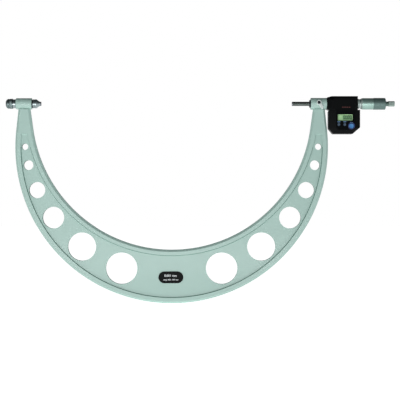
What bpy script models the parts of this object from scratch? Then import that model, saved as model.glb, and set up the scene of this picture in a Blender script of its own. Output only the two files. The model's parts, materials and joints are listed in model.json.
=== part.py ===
"""Digital outside micrometer, 400 to 500 mm, with interchangeable anvils.

Shown with its shortest anvil and its spindle run fully in, so the two faces are 475 mm apart.
Frame: origin at the centre of the anvil's measuring face, +X along the measuring axis from anvil
to spindle, +Z up. The display faces -Y and the arch hangs towards -Z.
All lengths below are in millimetres. The builder functions turn them into Blender's metres.
"""
import math

import bmesh
import bpy
from mathutils import Vector

MM = 0.001
GAP = 0.3                  # clearance between neighbouring pieces

# Measuring axis
MEASURED = 475.0           # distance from the anvil face to the spindle face
TRAVEL = 25.0              # spindle travel
SPINDLE_R = 4.0
TIP_LENGTH = 1.3           # carbide tips
ANVIL_NUT_X = -53.5        # front face of the anvil's lock nut

# Frame arch
ARCH_X = 247.3             # the arch is symmetric about this X
INNER_R = 265.2
INNER_Z = -11.2
OUTER_R = 295.6
OUTER_Z = -82.0
INNER_LEAVE = -8.0         # where the legs' straight sides leave the two arcs, in degrees
OUTER_LEAVE = 6.0
LEG_TOP_Z = -7.0
FRAME_HALF = 8.0           # half of the frame's thickness
FLANK = 3.8                # bevel along both edges of the arch
RIM = 10.5                 # width of the raised rim around the web
WEB_HALF = 4.8
POCKET_TOP_Z = -57.0
POCKET_FILLET = 1.6
THROUGH = 20.0             # half length of cutters that pass right through
ARC_STEPS = 48
# Lightening holes on each side: degrees from the bottom of the arch, radius
HOLES = ((17.5, 29.8), (33.2, 26.7), (47.6, 20.5), (59.1, 15.4), (68.8, 9.3), (75.8, 6.1))
HOLE_OUTWARD = 1.0         # holes sit this much outside the middle of the rib
LEFT_BOSS = (-47.2, -17.4)
LEFT_BOSS_R = 10.6
LEFT_BORE_R = 6.0
RIGHT_BOSS = (510.4, 540.4)
RIGHT_BOSS_R = 11.1
RIGHT_BORE_R = 7.0
BOSS_CHAMFER = 0.5
LOCK_X = 535.0             # screw that holds the head's stem, from the rear
LOCK_HOLE_R = 1.5
LABEL_SIZE = (46.8, 22.3, 0.8)
LABEL_X = 245.8
LABEL_Z = -328.4

# Spindle clamp, on the front of the right boss
CLAMP_X = 525.2
CLAMP_Z = 1.8
CLAMP_SCREW_R = 2.7
LEVER_HUB_R = 4.6
LEVER_Y = (-15.2, -11.6)
LEVER_REACH = 14.0
LEVER_ANGLE = -60.0        # where the arm points, in degrees from +X, seen from the front
LEVER_WIDTH = 5.6
LEVER_EDGE = 0.6
CLAMP_SCREW_Y = (-14.9, -6.9)
HEX_SOCKET_R = 1.5
HEX_SOCKET_Y = (-16.0, -12.9)
SHOE_R = 2.4
SHOE_Y = (-6.5, -4.3)

# Digital unit: outline as (X, Z), clockwise from the upper left, and its depths in Y
HOUSING = ((540.8, 11.4), (549.6, 13.8), (598.8, 13.8), (598.8, -12.0), (603.0, -12.0),
           (603.0, -45.2), (589.0, -57.3), (552.0, -57.3), (543.6, -47.4), (543.6, -14.4),
           (545.6, -12.6), (540.8, -10.8))
FACE = ((549.4, 6.0), (555.0, 9.6), (593.3, 9.6), (593.3, -12.4), (593.9, -12.8),
        (593.9, -46.4), (587.6, -50.8), (561.0, -50.8), (556.6, -46.4), (556.6, -14.6),
        (555.2, -13.0), (549.4, -9.0))
WALL = 2.0
STEM_HOLE_X = (538.0, 546.5)               # spans of the openings along the measuring axis
SLEEVE_HOLE_X = (593.0, 601.5)
SEAM = 0.15                # half of the gap between the two covers
SHOULDER_Y = -9.4          # where the front cover starts to slope in
FACE_Y = -15.5
REAR_SHOULDER_Y = 10.2
REAR_Y = 13.5
REAR_INSET = 2.6
PANEL = ((557.4, -14.0), (592.8, -14.0), (592.8, -45.8), (586.9, -49.7), (561.4, -49.7),
         (557.4, -45.9))
PANEL_Y = (-16.3, -15.8)
WINDOW = (560.0, 588.4, -32.9, -21.1)      # aperture: X from, X to, Z from, Z to
# Buttons: name, X, Z, radius
BUTTONS = (("hold_button", 562.1, -40.3, 2.5), ("set_button", 573.2, -40.3, 2.5),
           ("zero_button", 585.8, -42.8, 4.4))
BUTTON_FRONT_Y = -17.2
BUTTON_FLANGE_Y = (-13.2, -12.4)
GUARD_R = 6.6
SCREW_PLACES = ((549.2, -19.0), (597.8, -19.0), (549.2, -44.0), (597.8, -40.5))
SCREW_R = 1.0
SCREW_HEAD_R = 1.6
SCREW_SEAT_Y = 11.0
POST_R = 2.2
INSIDE_Y = 5.0             # inside the rear cover, where its cutters start
BATTERY_XZ = (561.0, -35.0)
BATTERY_R = 5.8
BATTERY_CAP_R = 8.0
PORT_X = (573.5, 592.5)
PORT_Z = (-39.0, -31.0)
PORT_SCREW_R = 0.9

# Micrometer head
BRACKET_FLANGE_R = 9.6
ENCODER_R = 7.4
SLEEVE_END = 632.0
SLEEVE_R = 8.6
THREAD_R = 4.9
KEY_X = 556.8
THIMBLE_START = 604.8
KNURL_START = 608.3
KNURL_END = 628.4
THIMBLE_END = 651.8
THIMBLE_R = 11.1
KNURL_R = 10.75
KNOB = (657.3, 669.2)
KNOB_R = 5.1

AROUND_X = (0.0, math.radians(90), 0.0)        # local +Z becomes world +X
TO_FRONT = (math.radians(90), 0.0, 0.0)        # local +Z becomes world -Y
TO_REAR = (math.radians(-90), 0.0, 0.0)        # local +Z becomes world +Y

# Finishes: colour, roughness, metallic
FINISHES = {
    "hammertone": ((0.44, 0.59, 0.55), 0.45, 0.0),
    "satin_chrome": ((0.62, 0.66, 0.66), 0.32, 1.0),
    "bright_steel": ((0.66, 0.67, 0.68), 0.22, 1.0),
    "dark_steel": ((0.07, 0.08, 0.09), 0.4, 1.0),
    "carbide": ((0.3, 0.31, 0.33), 0.25, 1.0),
    "brass": ((0.7, 0.52, 0.24), 0.35, 1.0),
    "black_plastic": ((0.012, 0.014, 0.017), 0.42, 0.0),
    "black_label": ((0.01, 0.01, 0.012), 0.3, 0.0),
    "grey_button": ((0.05, 0.07, 0.09), 0.5, 0.0),
    "blue_button": ((0.05, 0.2, 0.62), 0.4, 0.0),
    "navy_ring": ((0.02, 0.05, 0.16), 0.4, 0.0),
    "clear_window": ((0.5, 0.62, 0.5), 0.08, 0.0),
    "lcd": ((0.42, 0.56, 0.38), 0.3, 0.0),
    "board": ((0.03, 0.2, 0.08), 0.5, 0.0),
    "seal": ((0.02, 0.02, 0.02), 0.8, 0.0),
}


# ---------------------------------------------------------------- scene helpers

def clear_scene():
    for obj in list(bpy.data.objects):
        bpy.data.objects.remove(obj, do_unlink=True)


def new_collection(name):
    collection = bpy.data.collections.new(name)
    bpy.context.scene.collection.children.link(collection)
    return collection


def add_finish(obj, finish):
    color, roughness, metallic = FINISHES[finish]
    material = bpy.data.materials.new(obj.name)
    material.use_nodes = True
    shader = material.node_tree.nodes["Principled BSDF"]
    shader.inputs["Base Color"].default_value = (*color, 1.0)
    shader.inputs["Roughness"].default_value = roughness
    shader.inputs["Metallic"].default_value = metallic
    obj.data.materials.clear()
    obj.data.materials.append(material)


def place(obj, position, rotation=(0.0, 0.0, 0.0)):
    obj.location = [value * MM for value in position]
    obj.rotation_euler = rotation
    PARTS.objects.link(obj)
    return obj


def group(name, position, pieces):
    """An empty on a joint's axis, with the pieces that move about it."""
    empty = bpy.data.objects.new(name, None)
    empty.location = [value * MM for value in position]
    empty.empty_display_size = 10 * MM
    PARTS.objects.link(empty)
    for piece in pieces:
        piece.parent = empty
        piece.location = piece.location - empty.location


def evaluated_mesh(obj):
    """The object's mesh with its modifiers, or a curve's surface, welded."""
    bpy.context.view_layer.update()
    depsgraph = bpy.context.evaluated_depsgraph_get()
    mesh = bpy.data.meshes.new_from_object(obj.evaluated_get(depsgraph))
    work = bmesh.new()
    work.from_mesh(mesh)
    bmesh.ops.remove_doubles(work, verts=work.verts, dist=0.005 * MM)
    bmesh.ops.recalc_face_normals(work, faces=work.faces)
    work.to_mesh(mesh)
    work.free()
    return mesh


def shade(mesh):
    mesh.shade_smooth()
    mesh.set_sharp_from_angle(angle=math.radians(35))


def replace_with_mesh(source, name):
    """Turn a curve, or a profile with its Screw, into a mesh object in the same place."""
    mesh = evaluated_mesh(source)
    mesh.name = name
    shade(mesh)
    matrix = source.matrix_world.copy()
    bpy.data.objects.remove(source, do_unlink=True)
    obj = bpy.data.objects.new(name, mesh)
    obj.matrix_world = matrix
    PARTS.objects.link(obj)
    return obj


# ---------------------------------------------------------------- shape builders

def turned(name, profile, finish, steps=24, position=(0.0, 0.0, 0.0), rotation=AROUND_X):
    """A turned piece. The profile holds (height along the axis, radius), from the far end down
    its outer side; a hollow piece's profile closes on itself, up its bore."""
    closed = profile[0][1] > 0.0 and profile[-1][1] > 0.0
    mesh = bpy.data.meshes.new(name)
    count = len(profile)
    edges = [(i, i + 1) for i in range(count - 1)]
    if closed:
        edges.append((count - 1, 0))
    mesh.from_pydata([(r * MM, 0.0, h * MM) for h, r in profile], edges, [])
    obj = place(bpy.data.objects.new(name, mesh), position, rotation)
    screw = obj.modifiers.new("turn", "SCREW")
    screw.steps = steps
    screw.render_steps = steps
    screw.use_merge_vertices = True
    screw.merge_threshold = 0.005 * MM
    obj = replace_with_mesh(obj, name)
    add_finish(obj, finish)
    return obj


def rod(name, radius, start, end, finish, steps=24, chamfer=0.0, **where):
    profile = [(end, 0.0), (end, radius), (start, radius), (start, 0.0)]
    if chamfer:
        profile[1:3] = [(end, radius - chamfer), (end - chamfer, radius),
                        (start + chamfer, radius), (start, radius - chamfer)]
    return turned(name, profile, finish, steps=steps, **where)


def tube(name, inner, outer, start, end, finish, steps=24, **where):
    return turned(name, [(end, inner), (end, outer), (start, outer), (start, inner)],
                  finish, steps=steps, **where)


def box(name, low, high, finish, bevel=0.0):
    size = [(b - a) * MM for a, b in zip(low, high)]
    centre = [(a + b) / 2 for a, b in zip(low, high)]
    mesh = bpy.data.meshes.new(name)
    work = bmesh.new()
    bmesh.ops.create_cube(work, size=1.0)
    bmesh.ops.scale(work, vec=size, verts=work.verts)
    work.to_mesh(mesh)
    work.free()
    obj = place(bpy.data.objects.new(name, mesh), centre)
    add_bevel(obj, bevel)
    add_finish(obj, finish)
    return obj


def plate(name, outline, y_front, y_back, finish):
    """A flat piece in the XZ plane, from its outline of (X, Z) points."""
    curve = bpy.data.curves.new(name, "CURVE")
    curve.dimensions = "2D"
    curve.fill_mode = "BOTH"
    curve.extrude = (y_back - y_front) / 2 * MM
    spline = curve.splines.new("POLY")
    spline.points.add(len(outline) - 1)
    for point, (x, z) in zip(spline.points, outline):
        point.co = (x * MM, z * MM, 0.0, 1.0)
    spline.use_cyclic_u = True
    middle = (0.0, (y_front + y_back) / 2, 0.0)
    obj = place(bpy.data.objects.new(name, curve), middle, TO_FRONT)
    obj = replace_with_mesh(obj, name)
    add_finish(obj, finish)
    return obj


def loft(name, sections, finish):
    """A closed solid through outlines with the same number of points: (Y, outline) pairs."""
    mesh = bpy.data.meshes.new(name)
    work = bmesh.new()
    rings = [[work.verts.new((x * MM, y * MM, z * MM)) for x, z in outline]
             for y, outline in sections]
    for lower, upper in zip(rings, rings[1:]):
        for i in range(len(lower)):
            j = (i + 1) % len(lower)
            work.faces.new((lower[i], lower[j], upper[j], upper[i]))
    work.faces.new(rings[0])
    work.faces.new(rings[-1])
    bmesh.ops.recalc_face_normals(work, faces=work.faces)
    work.to_mesh(mesh)
    work.free()
    obj = place(bpy.data.objects.new(name, mesh), (0.0, 0.0, 0.0))
    add_finish(obj, finish)
    return obj


def add_bevel(obj, width, segments=1):
    if width > 0.0:
        bevel = obj.modifiers.new("bevel", "BEVEL")
        bevel.width = width * MM
        bevel.segments = segments
        bevel.limit_method = "ANGLE"
        bevel.angle_limit = math.radians(40)


def combine(target, others, operation):
    """Plan to cut the target with other shapes, or join them to it; they stay as hidden guides."""
    guides = bpy.data.collections.new(f"{target.name}_{operation.lower()}")
    CUTTERS.children.link(guides)
    for other in others:
        PARTS.objects.unlink(other)
        guides.objects.link(other)
        other.hide_render = True
        other.display_type = "WIRE"
    PLANNED_BOOLEANS.append((target, guides, operation))


def add_booleans():
    """Add the planned Booleans once every shape exists, so each is worked out only once."""
    for target, guides, operation in PLANNED_BOOLEANS:
        modifier = target.modifiers.new(operation.lower(), "BOOLEAN")
        modifier.operation = operation
        modifier.solver = "EXACT"
        modifier.operand_type = "COLLECTION"
        modifier.collection = guides


def cut(target, *cutters):
    combine(target, cutters, "DIFFERENCE")


def join(target, *others):
    combine(target, others, "UNION")


def across(name, radius, xz, y_from, y_to, steps=20):
    """A round cutter along Y."""
    return rod(name, radius, y_from, y_to, "dark_steel", steps=steps,
               position=(xz[0], 0.0, xz[1]), rotation=TO_REAR)


def along(name, radius, x_from, x_to, steps=24):
    """A round cutter along the measuring axis."""
    return rod(name, radius, x_from, x_to, "dark_steel", steps=steps)


# ---------------------------------------------------------------- outlines

def arc(centre_x, centre_z, radius, start, end, steps):
    """Points (X, Z) on an arc; angles in degrees from +X, counter-clockwise seen from the front."""
    points = []
    for i in range(steps + 1):
        angle = math.radians(start + (end - start) * i / steps)
        points.append((centre_x + radius * math.cos(angle), centre_z + radius * math.sin(angle)))
    return points


def leg_top(radius, centre_z, leave):
    """Where a leg's straight side, tangent to its arc, reaches the top: distance from ARCH_X."""
    angle = math.radians(leave)
    rise = LEG_TOP_Z - centre_z - radius * math.sin(angle)
    return radius * math.cos(angle) - rise * math.tan(angle)


def arch_outline():
    outer = arc(ARCH_X, OUTER_Z, OUTER_R, 180 - OUTER_LEAVE, 360 + OUTER_LEAVE, ARC_STEPS)
    inner = arc(ARCH_X, INNER_Z, INNER_R, 360 + INNER_LEAVE, 180 - INNER_LEAVE, ARC_STEPS)
    tops = [(ARCH_X + leg_top(OUTER_R, OUTER_Z, OUTER_LEAVE), LEG_TOP_Z),
            (ARCH_X + leg_top(INNER_R, INNER_Z, INNER_LEAVE), LEG_TOP_Z)]
    mirrored = [(2 * ARCH_X - x, z) for x, z in reversed(tops)]
    return outer + tops + inner + mirrored


def pocket_outline():
    """The sunk web between the rims, up to the solid part of each leg."""
    outer_r = OUTER_R - RIM
    inner_r = INNER_R + RIM
    outer_end = math.degrees(math.asin((POCKET_TOP_Z - OUTER_Z) / outer_r))
    inner_end = math.degrees(math.asin((POCKET_TOP_Z - INNER_Z) / inner_r))
    outer = arc(ARCH_X, OUTER_Z, outer_r, 180 - outer_end, 360 + outer_end, ARC_STEPS)
    inner = arc(ARCH_X, INNER_Z, inner_r, 360 + inner_end, 180 - inner_end, ARC_STEPS)
    return outer + inner


def hole_places():
    """Centre (X, Z) and radius of each lightening hole, on both sides of the arch."""
    drop = INNER_Z - OUTER_Z
    places = []
    for degrees, radius in HOLES:
        angle = math.radians(degrees)
        far = drop * math.cos(angle) + math.sqrt(OUTER_R ** 2 - (drop * math.sin(angle)) ** 2)
        reach = (INNER_R + far) / 2 + HOLE_OUTWARD
        for side in (-1, 1):
            places.append((ARCH_X + side * reach * math.sin(angle),
                           INNER_Z - reach * math.cos(angle), radius))
    return places


def stadium(centre_x, centre_z, length, width, steps=10):
    """A bar with round ends, lying along X."""
    reach = (length - width) / 2
    right = arc(centre_x + reach, centre_z, width / 2, -90, 90, steps)
    left = arc(centre_x - reach, centre_z, width / 2, 90, 270, steps)
    return right + left


def inset(outline, distance):
    """Move every side of a clockwise outline inwards, and meet the neighbours again."""
    count = len(outline)
    lines = []
    for i in range(count):
        start = Vector(outline[i])
        along_side = (Vector(outline[(i + 1) % count]) - start).normalized()
        inward = Vector((along_side.y, -along_side.x))
        lines.append((start + inward * distance, along_side))
    points = []
    for i in range(count):
        before, side_a = lines[i - 1]
        after, side_b = lines[i]
        cross = side_a.x * side_b.y - side_a.y * side_b.x
        delta = after - before
        step = (delta.x * side_b.y - delta.y * side_b.x) / cross
        points.append(tuple(before + side_a * step))
    return points


# ---------------------------------------------------------------- frame and anvil

def build_frame():
    frame = plate("frame", arch_outline(), -FRAME_HALF, FRAME_HALF, "hammertone")
    add_bevel(frame, FLANK)
    join(frame, *[rod(name, radius, *bounds, "hammertone", steps=28, chamfer=BOSS_CHAMFER)
                  for name, radius, bounds in (("left_boss", LEFT_BOSS_R, LEFT_BOSS),
                                               ("right_boss", RIGHT_BOSS_R, RIGHT_BOSS))])
    cutters = [along("left_bore", LEFT_BORE_R, LEFT_BOSS[0] - 1.0, LEFT_BOSS[1] + 1.0),
               along("right_bore", RIGHT_BORE_R, RIGHT_BOSS[0] - 1.0, RIGHT_BOSS[1] + 1.0),
               across("clamp_hole", CLAMP_SCREW_R + GAP, (CLAMP_X, CLAMP_Z), -THROUGH, 0.0),
               across("lock_hole", LOCK_HOLE_R, (LOCK_X, 0.0), 0.0, THROUGH, steps=16)]
    for side in (-1, 1):
        pocket = plate("pocket", pocket_outline(), WEB_HALF, THROUGH, "hammertone")
        pocket.location.y *= side
        add_bevel(pocket, POCKET_FILLET)
        cutters.append(pocket)
    for x, z, radius in hole_places():
        sides = 14 + 2 * int(radius / 4)
        cutters.append(across("lightening", radius, (x, z), -THROUGH, THROUGH, steps=sides))
    cut(frame, *cutters)


def build_label():
    length, width, thick = LABEL_SIZE
    back = -WEB_HALF - GAP
    plate("label_plate", stadium(LABEL_X, LABEL_Z, length, width), back - thick, back, "black_label")


def build_anvil_side():
    """The bushed left boss, the interchangeable anvil through it, and its nut at the rear."""
    turned("anvil_sleeve", [(-17.9, 4.3), (-17.9, 5.7), (-47.5, 5.7), (-47.5, 8.4), (-52.8, 8.4),
                            (-53.2, 8.0), (-53.2, 4.3)], "bright_steel")
    tube("anvil_seat_ring", 4.3, 7.9, -17.1, -15.6, "dark_steel")
    face = -TIP_LENGTH - GAP
    anvil = turned("anvil", [(face, 0.0), (face, SPINDLE_R), (-2.4, SPINDLE_R), (-7.0, 7.0),
                             (-8.6, 8.2), (-9.6, 8.5), (-14.4, 8.5), (-15.3, 7.7),
                             (-15.3, SPINDLE_R), (-62.0, SPINDLE_R), (-62.0, 0.0)],
                   "bright_steel")
    tip = rod("anvil_tip", SPINDLE_R, -TIP_LENGTH, 0.0, "carbide")
    nut = turned("anvil_lock_nut", [(ANVIL_NUT_X, 4.3), (ANVIL_NUT_X, 8.8), (-54.2, 9.5),
                                    (-58.6, 9.5), (-59.0, 9.0), (-59.8, 9.0), (-60.2, 9.4),
                                    (-62.6, 9.1), (-65.0, 7.7), (-66.4, 5.4), (-66.9, 2.8),
                                    (-66.9, 0.0), (-63.5, 0.0), (-63.5, 4.3)], "bright_steel")
    group("anvil_axis", (0.0, 0.0, 0.0), (anvil, tip))
    group("anvil_nut_axis", (ANVIL_NUT_X, 0.0, 0.0), (nut,))


# ---------------------------------------------------------------- spindle clamp

def build_clamp():
    """The lever swells into an eye around its screw; the screw presses a shoe on the spindle."""
    pivot = (CLAMP_X, CLAMP_Z)
    where = {"position": (CLAMP_X, 0.0, CLAMP_Z), "rotation": TO_REAR}
    arm_half = LEVER_WIDTH / 2
    hub = arc(*pivot, LEVER_HUB_R, LEVER_ANGLE + 46, LEVER_ANGLE + 314, 14)
    angle = math.radians(LEVER_ANGLE)
    tip_x = CLAMP_X + (LEVER_REACH - arm_half) * math.cos(angle)
    tip_z = CLAMP_Z + (LEVER_REACH - arm_half) * math.sin(angle)
    end = arc(tip_x, tip_z, arm_half, LEVER_ANGLE - 90, LEVER_ANGLE + 90, 8)
    lever = plate("clamp_lever", hub + end, *LEVER_Y, "satin_chrome")
    add_bevel(lever, LEVER_EDGE)
    cut(lever, across("lever_eye", CLAMP_SCREW_R + GAP, pivot, -THROUGH, 0.0))
    screw = rod("clamp_screw", CLAMP_SCREW_R, *CLAMP_SCREW_Y, "dark_steel", **where)
    socket_start, socket_end = HEX_SOCKET_Y
    cut(screw, across("hex_socket", HEX_SOCKET_R, pivot, socket_start, socket_end, steps=6))
    shoe = rod("clamp_shoe", SHOE_R, *SHOE_Y, "brass", steps=20, **where)
    group("clamp_axis", (CLAMP_X, 0.0, CLAMP_Z), (lever, screw))
    group("clamp_shoe_axis", (CLAMP_X, 0.0, CLAMP_Z), (shoe,))


# ---------------------------------------------------------------- micrometer head

def build_fixed_head():
    turned("spindle_guide_bush", [(519.5, 4.25), (519.5, 6.7), (510.1, 6.7), (510.1, 7.2),
                                  (508.5, 7.2), (508.1, 6.8), (508.1, 4.25)], "dark_steel")
    flange = BRACKET_FLANGE_R
    bracket = turned("head_bracket", [(548.0, 5.0), (548.0, flange), (545.0, flange),
                                      (545.0, 6.7), (530.5, 6.7), (530.5, 5.0)], "satin_chrome")
    join(bracket,
         tube("bracket_ring", 6.9, flange, 588.5, 594.6, "satin_chrome"),
         box("bracket_bar", (546.0, 7.9, -4.5), (593.5, 9.3, 4.5), "satin_chrome"))
    rod("head_lock_screw", 1.2, 7.1, 10.9, "dark_steel", steps=16,
        position=(LOCK_X, 0.0, 0.0), rotation=TO_REAR)
    turned("inner_sleeve", [(641.0, 5.2), (641.0, 6.6), (586.0, 6.6), (586.0, 4.3),
                            (600.0, 4.3), (600.0, 5.2)], "bright_steel")
    turned("outer_sleeve", [(SLEEVE_END, 6.9), (SLEEVE_END, SLEEVE_R), (602.6, SLEEVE_R),
                            (602.6, 9.0), (599.5, 9.3), (599.1, 8.9), (599.1, 6.9)],
           "satin_chrome", steps=28)
    nut = tube("adjusting_nut", 6.9, 8.3, 633.0, 638.5, "bright_steel")
    cut(nut, box("nut_slot", (637.2, -0.7, -9.0), (639.5, 0.7, 9.0), "dark_steel"),
        box("nut_slot", (637.2, -9.0, -0.7), (639.5, 9.0, 0.7), "dark_steel"))
    tube("encoder_stator", 5.0, ENCODER_R, 548.5, 550.4, "board")


def build_rotor():
    """The keyed disc that turns with the spindle while the spindle slides through it."""
    rotor = turned("encoder_rotor", [(561.0, 4.3), (561.0, 6.2), (553.0, 6.2), (553.0, ENCODER_R),
                                     (551.2, ENCODER_R), (551.2, 4.3)], "brass")
    key_hole = rod("key_hole", 0.9, 2.0, 8.0, "brass", steps=12, position=(KEY_X, 0.0, 0.0),
                   rotation=(0.0, 0.0, 0.0))
    cut(rotor, key_hole)
    key = rod("rotor_key", 0.6, 3.3, 6.0, "bright_steel", steps=12,
              position=(KEY_X, 0.0, 0.0), rotation=(0.0, 0.0, 0.0))
    group("rotor_axis", (551.2, 0.0, 0.0), (rotor, key))


def build_spindle():
    face = MEASURED + TIP_LENGTH
    tip = rod("spindle_tip", SPINDLE_R, MEASURED, face, "carbide")
    spindle = turned("spindle", [(651.0, 1.9), (651.0, 4.2), (643.5, THREAD_R), (603.5, THREAD_R),
                                 (602.6, SPINDLE_R), (face + GAP, SPINDLE_R), (face + GAP, 0.0),
                                 (640.0, 0.0), (640.0, 1.9)], "bright_steel")
    cut(spindle, box("key_slot", (KEY_X - TRAVEL - 1.2, -0.9, 3.0), (KEY_X + 1.2, 0.9, 6.0),
                     "bright_steel"))
    thimble = turned("thimble", [
        (THIMBLE_END, 5.3), (THIMBLE_END, THIMBLE_R - 0.9), (THIMBLE_END - 0.9, THIMBLE_R),
        (KNURL_END + 0.5, THIMBLE_R), (KNURL_END, KNURL_R), (KNURL_START, KNURL_R),
        (THIMBLE_START, 9.25), (THIMBLE_START, 8.95), (645.0, 8.95), (645.0, 5.3)],
        "satin_chrome", steps=32)
    return tip, spindle, thimble


def helix(x_from, x_to, radius, turns, per_turn=8):
    """Points of a coil along the measuring axis, in world millimetres."""
    count = int(turns * per_turn)
    points = []
    for i in range(count + 1):
        angle = 2 * math.pi * i / per_turn
        points.append((x_from + (x_to - x_from) * i / count,
                       radius * math.cos(angle), radius * math.sin(angle)))
    return points


def wire(name, points, radius, finish, resolution=1):
    curve = bpy.data.curves.new(name, "CURVE")
    curve.dimensions = "3D"
    curve.bevel_depth = radius * MM
    curve.bevel_resolution = resolution
    curve.use_fill_caps = True
    spline = curve.splines.new("POLY")
    spline.points.add(len(points) - 1)
    for point, position in zip(spline.points, points):
        point.co = (*[value * MM for value in position], 1.0)
    obj = place(bpy.data.objects.new(name, curve), (0.0, 0.0, 0.0))
    obj = replace_with_mesh(obj, name)
    add_finish(obj, finish)
    return obj


def build_ratchet():
    start, end = KNOB
    base = turned("ratchet_base", [(657.0, 2.1), (657.0, 4.3), (652.6, 4.6), (652.1, 4.6),
                                   (652.1, 2.1)], "dark_steel")
    screw = turned("ratchet_screw", [(668.3, 0.0), (668.3, 2.4), (667.9, 2.8), (666.9, 2.8),
                                     (666.9, 1.6), (642.0, 1.6), (642.0, 0.0)], "dark_steel",
                   steps=20)
    slot = box("driver_slot", (667.6, -4.0, -0.4), (669.0, 4.0, 0.4), "dark_steel")
    cut(screw, slot)
    click = tube("ratchet_click_ring", 2.1, 3.6, 657.8, 659.4, "brass", steps=20)
    spring = wire("ratchet_spring", helix(660.2, 664.3, 2.85, 3.0), 0.25, "bright_steel")
    knob = turned("ratchet_knob", [
        (end, 3.2), (end, KNOB_R - 0.4), (end - 0.4, KNOB_R), (start + 0.4, KNOB_R),
        (start, KNOB_R - 0.4), (start, 3.9), (665.0, 3.9), (665.0, 2.1), (666.6, 2.1),
        (666.6, 3.2)], "satin_chrome", steps=20)
    group("ratchet_axis", (start, 0.0, 0.0), (knob,))
    return base, screw, click, spring


# ---------------------------------------------------------------- digital unit

def cavity(name, outer_y, shoulder_y, face_y, mid_outline, end_outline):
    """The hollow inside one cover, open at the seam."""
    return loft(name, [(outer_y, inset(HOUSING, WALL)), (shoulder_y, mid_outline),
                       (face_y, end_outline)], "black_plastic")


def axis_holes():
    """Openings in the covers' side walls for the bracket's stem and the sleeve."""
    return (along("stem_hole", RIGHT_BORE_R, *STEM_HOLE_X),
            along("sleeve_hole", RIGHT_BORE_R, *SLEEVE_HOLE_X))


def build_front_cover():
    cover = loft("front_cover", [(-SEAM, HOUSING), (SHOULDER_Y, HOUSING), (FACE_Y, FACE)],
                 "black_plastic")
    cut(cover, cavity("front_cavity", 1.0, SHOULDER_Y + 0.8, FACE_Y + WALL,
                      inset(HOUSING, WALL), inset(FACE, WALL / 2)))
    join(cover, *[across("post", POST_R, place_xz, SHOULDER_Y - 0.9, -0.8, steps=16)
                  for place_xz in SCREW_PLACES])
    x_from, x_to, z_from, z_to = WINDOW
    inside_y = FACE_Y + WALL + 1.5
    cutters = [*axis_holes(), box("aperture", (x_from, -THROUGH, z_from), (x_to, inside_y, z_to),
                                  "black_plastic")]
    for name, x, z, radius in BUTTONS:
        cutters.append(across(f"{name}_hole", radius + GAP, (x, z), -THROUGH, inside_y))
    for place_xz in SCREW_PLACES:
        cutters.append(across("screw_bore", SCREW_R + GAP, place_xz, -7.5, 2.0, steps=16))
    cut(cover, *cutters)


def build_rear_cover():
    rear_face = inset(HOUSING, REAR_INSET)
    cover = loft("rear_cover", [(SEAM, HOUSING), (REAR_SHOULDER_Y, HOUSING), (REAR_Y, rear_face)],
                 "black_plastic")
    port_x = sum(PORT_X) / 2
    port_z = sum(PORT_Z) / 2
    cutters = [
        cavity("rear_cavity", -1.0, REAR_SHOULDER_Y - 0.8, REAR_Y - WALL,
               inset(HOUSING, WALL), inset(HOUSING, WALL + REAR_INSET)),
        *axis_holes(),
        across("cap_hole", BATTERY_CAP_R + GAP, BATTERY_XZ, INSIDE_Y, THROUGH, steps=24),
        box("port_slot", (port_x - 5.5, INSIDE_Y, port_z - 2.5),
            (port_x + 5.5, THROUGH, port_z + 2.5), "black_plastic")]
    for x, z in SCREW_PLACES:
        cutters.append(turned("screw_pass", [
            (THROUGH, 0.0), (THROUGH, SCREW_HEAD_R + GAP), (SCREW_SEAT_Y, SCREW_HEAD_R + GAP),
            (SCREW_SEAT_Y, SCREW_R + GAP), (INSIDE_Y, SCREW_R + GAP), (INSIDE_Y, 0.0)],
            "dark_steel", steps=16, position=(x, 0.0, z), rotation=TO_REAR))
    for x in port_screw_places():
        cutters.append(across("port_screw_bore", PORT_SCREW_R + GAP, (x, port_z), INSIDE_Y,
                              THROUGH, steps=12))
    cut(cover, *cutters)


def port_screw_places():
    return PORT_X[0] + 2.4, PORT_X[1] - 2.4


def build_cover_screws():
    for index, (x, z) in enumerate(SCREW_PLACES):
        screw = turned(f"cover_screw_{index + 1}", [
            (13.1, 0.0), (13.1, SCREW_HEAD_R), (11.4, SCREW_HEAD_R), (11.4, SCREW_R),
            (-7.0, SCREW_R), (-7.0, 0.0)], "dark_steel", steps=12,
            position=(x, 0.0, z), rotation=TO_REAR)
        slot = box("screw_slot", (x - 2.0, 12.5, z - 0.3), (x + 2.0, 14.0, z + 0.3), "dark_steel")
        cut(screw, slot)


def build_seal():
    """The cord that seals the lower part of the seam, inside the covers' walls."""
    path = inset(HOUSING, WALL + 0.9)
    low = path[4:10]
    low[0] = (low[0][0], -16.0)
    low[-1] = (low[-1][0], -18.0)
    wire("cover_seal", [(x, 0.0, z) for x, z in low], 0.6, "seal")


def build_display():
    x_from, x_to, z_from, z_to = WINDOW
    panel = plate("face_panel", PANEL, *PANEL_Y, "black_label")
    cut(panel, box("panel_aperture", (x_from, -THROUGH, z_from), (x_to, 0.0, z_to), "black_label"),
        *[across(f"{name}_panel_hole", radius + GAP, (x, z), -THROUGH, 0.0)
          for name, x, z, radius in BUTTONS])
    box("display_window", (x_from + GAP, -16.1, z_from + GAP), (x_to - GAP, -14.4, z_to - GAP),
        "clear_window")
    box("display_module", (x_from - 1.2, -13.2, z_from - 1.0), (x_to + 1.2, -11.6, z_to + 1.0),
        "lcd")
    box("keypad_membrane", (558.6, -11.3, -46.5), (590.0, -10.5, -36.6), "seal")
    box("circuit_board", (552.2, -10.0, -47.0), (587.5, -8.6, -17.5), "board")


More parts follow.
